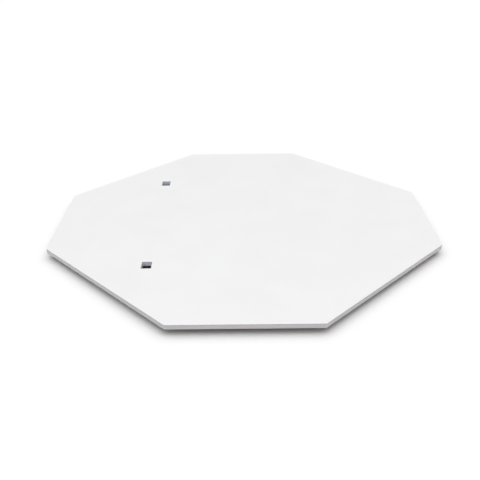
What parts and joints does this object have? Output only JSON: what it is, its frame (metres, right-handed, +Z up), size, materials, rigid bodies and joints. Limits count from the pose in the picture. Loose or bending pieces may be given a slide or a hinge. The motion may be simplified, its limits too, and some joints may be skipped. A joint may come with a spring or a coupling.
{
  "type": "octagonal game board",
  "caption": "Thin octagonal white board for a disc-flicking game, laminated on its playing face, with rectangular through slots near one side and low rubber feet.",
  "frame": {"origin": "on the table, under the centre of the board: the middle of the footprint, at the height of the feet's undersides", "axes": "+Z up, out of the playing face; +X to the right along the board's longest side, away from the slots; +Y to the back"},
  "size_m": [0.8, 0.786, 0.022],
  "materials": {
    "white_laminate": "satin white melamine laminate",
    "edge_strip_plastic": "satin, slightly greyer than the faces",
    "core_fibreboard": "raw sawn fibreboard",
    "backing_phenolic": "matt brown phenolic backing sheet",
    "sleeve_plastic": "moulded, cool grey white",
    "foot_rubber": "moulded matt",
    "washer_steel": "zinc plated",
    "screw_steel": "zinc plated"
  },
  "bodies": {
    "root": {"core_panel": "core_fibreboard", "top_laminate": "white_laminate", "backing_sheet": "backing_phenolic", "slot_sleeve_front": "sleeve_plastic", "slot_sleeve_back": "sleeve_plastic", "edge_band_front": "edge_strip_plastic", "edge_band_front_right": "edge_strip_plastic", "edge_band_right": "edge_strip_plastic", "edge_band_back_right": "edge_strip_plastic", "edge_band_back": "edge_strip_plastic", "edge_band_back_left": "edge_strip_plastic", "edge_band_left": "edge_strip_plastic", "edge_band_front_left": "edge_strip_plastic", "foot_front_left": "foot_rubber", "foot_front_right": "foot_rubber", "foot_right_front": "foot_rubber", "foot_right_back": "foot_rubber", "foot_back_right": "foot_rubber", "foot_back_left": "foot_rubber", "foot_left_back": "foot_rubber", "foot_left_front": "foot_rubber", "foot_washers": "washer_steel", "foot_screws": "screw_steel"}
  },
  "joints": []
}
